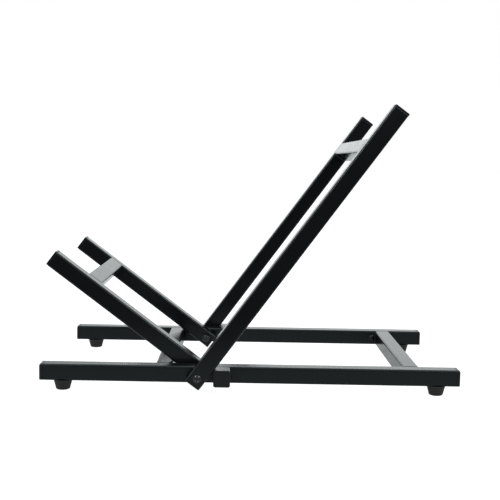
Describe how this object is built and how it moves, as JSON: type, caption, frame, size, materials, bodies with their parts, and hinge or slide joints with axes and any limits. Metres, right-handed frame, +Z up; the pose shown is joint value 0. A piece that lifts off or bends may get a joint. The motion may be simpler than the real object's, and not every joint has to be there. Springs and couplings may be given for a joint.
{
  "type": "folding amplifier stand",
  "caption": "Folding square-tube stand that tilts an amplifier back: a base frame on rubber feet carries a hinged back frame and a hinged seat frame on shared pivot bolts.",
  "frame": {"origin": "on the floor, in the middle of the stand's outline", "axes": "+X to the rear, along the rails; +Y to the stand's right; +Z up"},
  "size_m": [0.506, 0.3192, 0.3464],
  "materials": {
    "powder_coat": "semi-gloss black powder coat",
    "cap_plastic": "moulded black plastic",
    "foot_rubber": "matt black rubber",
    "black_steel": "black oxide steel",
    "zinc_steel": "bright zinc plate",
    "dark_nylon": "dark grey nylon"
  },
  "bodies": {
    "base_frame": {"left_rail": "powder_coat", "right_rail": "powder_coat", "front_crossbar": "powder_coat", "rear_crossbar": "powder_coat", "left_stop_stub": "powder_coat", "right_stop_stub": "powder_coat", "left_stub_cap": "cap_plastic", "right_stub_cap": "cap_plastic", "front_left_rail_cap": "cap_plastic", "front_right_rail_cap": "cap_plastic", "rear_left_rail_cap": "cap_plastic", "rear_right_rail_cap": "cap_plastic", "rail_buttons": "cap_plastic", "outer_nylon_washers": "cap_plastic", "inner_nylon_washers": "cap_plastic", "front_left_foot": "foot_rubber", "front_right_foot": "foot_rubber", "rear_left_foot": "foot_rubber", "rear_right_foot": "foot_rubber", "left_pivot_bolt": "black_steel", "right_pivot_bolt": "black_steel", "left_lock_nut": "black_steel", "right_lock_nut": "black_steel", "nut_washers": "black_steel", "foot_screws": "zinc_steel", "foot_screw_washers": "zinc_steel", "rail_spacer_sleeves": "zinc_steel", "lock_nut_rings": "dark_nylon"},
    "back_frame": {"left_back_arm": "powder_coat", "right_back_arm": "powder_coat", "back_crossbar": "powder_coat", "left_back_top_cap": "cap_plastic", "right_back_top_cap": "cap_plastic", "left_back_tail_cap": "cap_plastic", "right_back_tail_cap": "cap_plastic"},
    "seat_frame": {"left_seat_arm": "powder_coat", "right_seat_arm": "powder_coat", "seat_crossbar": "powder_coat", "left_seat_top_cap": "cap_plastic", "right_seat_top_cap": "cap_plastic", "left_seat_tail_cap": "cap_plastic", "right_seat_tail_cap": "cap_plastic", "seat_bumpers": "foot_rubber"}
  },
  "joints": [
    {"name": "back_frame_fold", "type": "hinge", "parent": "base_frame", "child": "back_frame", "pos_m": [-0.0625, 0, 0.0221], "axis": [0, -1, 0], "range_deg": [0, 126]},
    {"name": "seat_frame_fold", "type": "hinge", "parent": "base_frame", "child": "seat_frame", "pos_m": [-0.0625, 0, 0.0221], "axis": [0, 1, 0], "range_deg": [0, 143.2]}
  ]
}
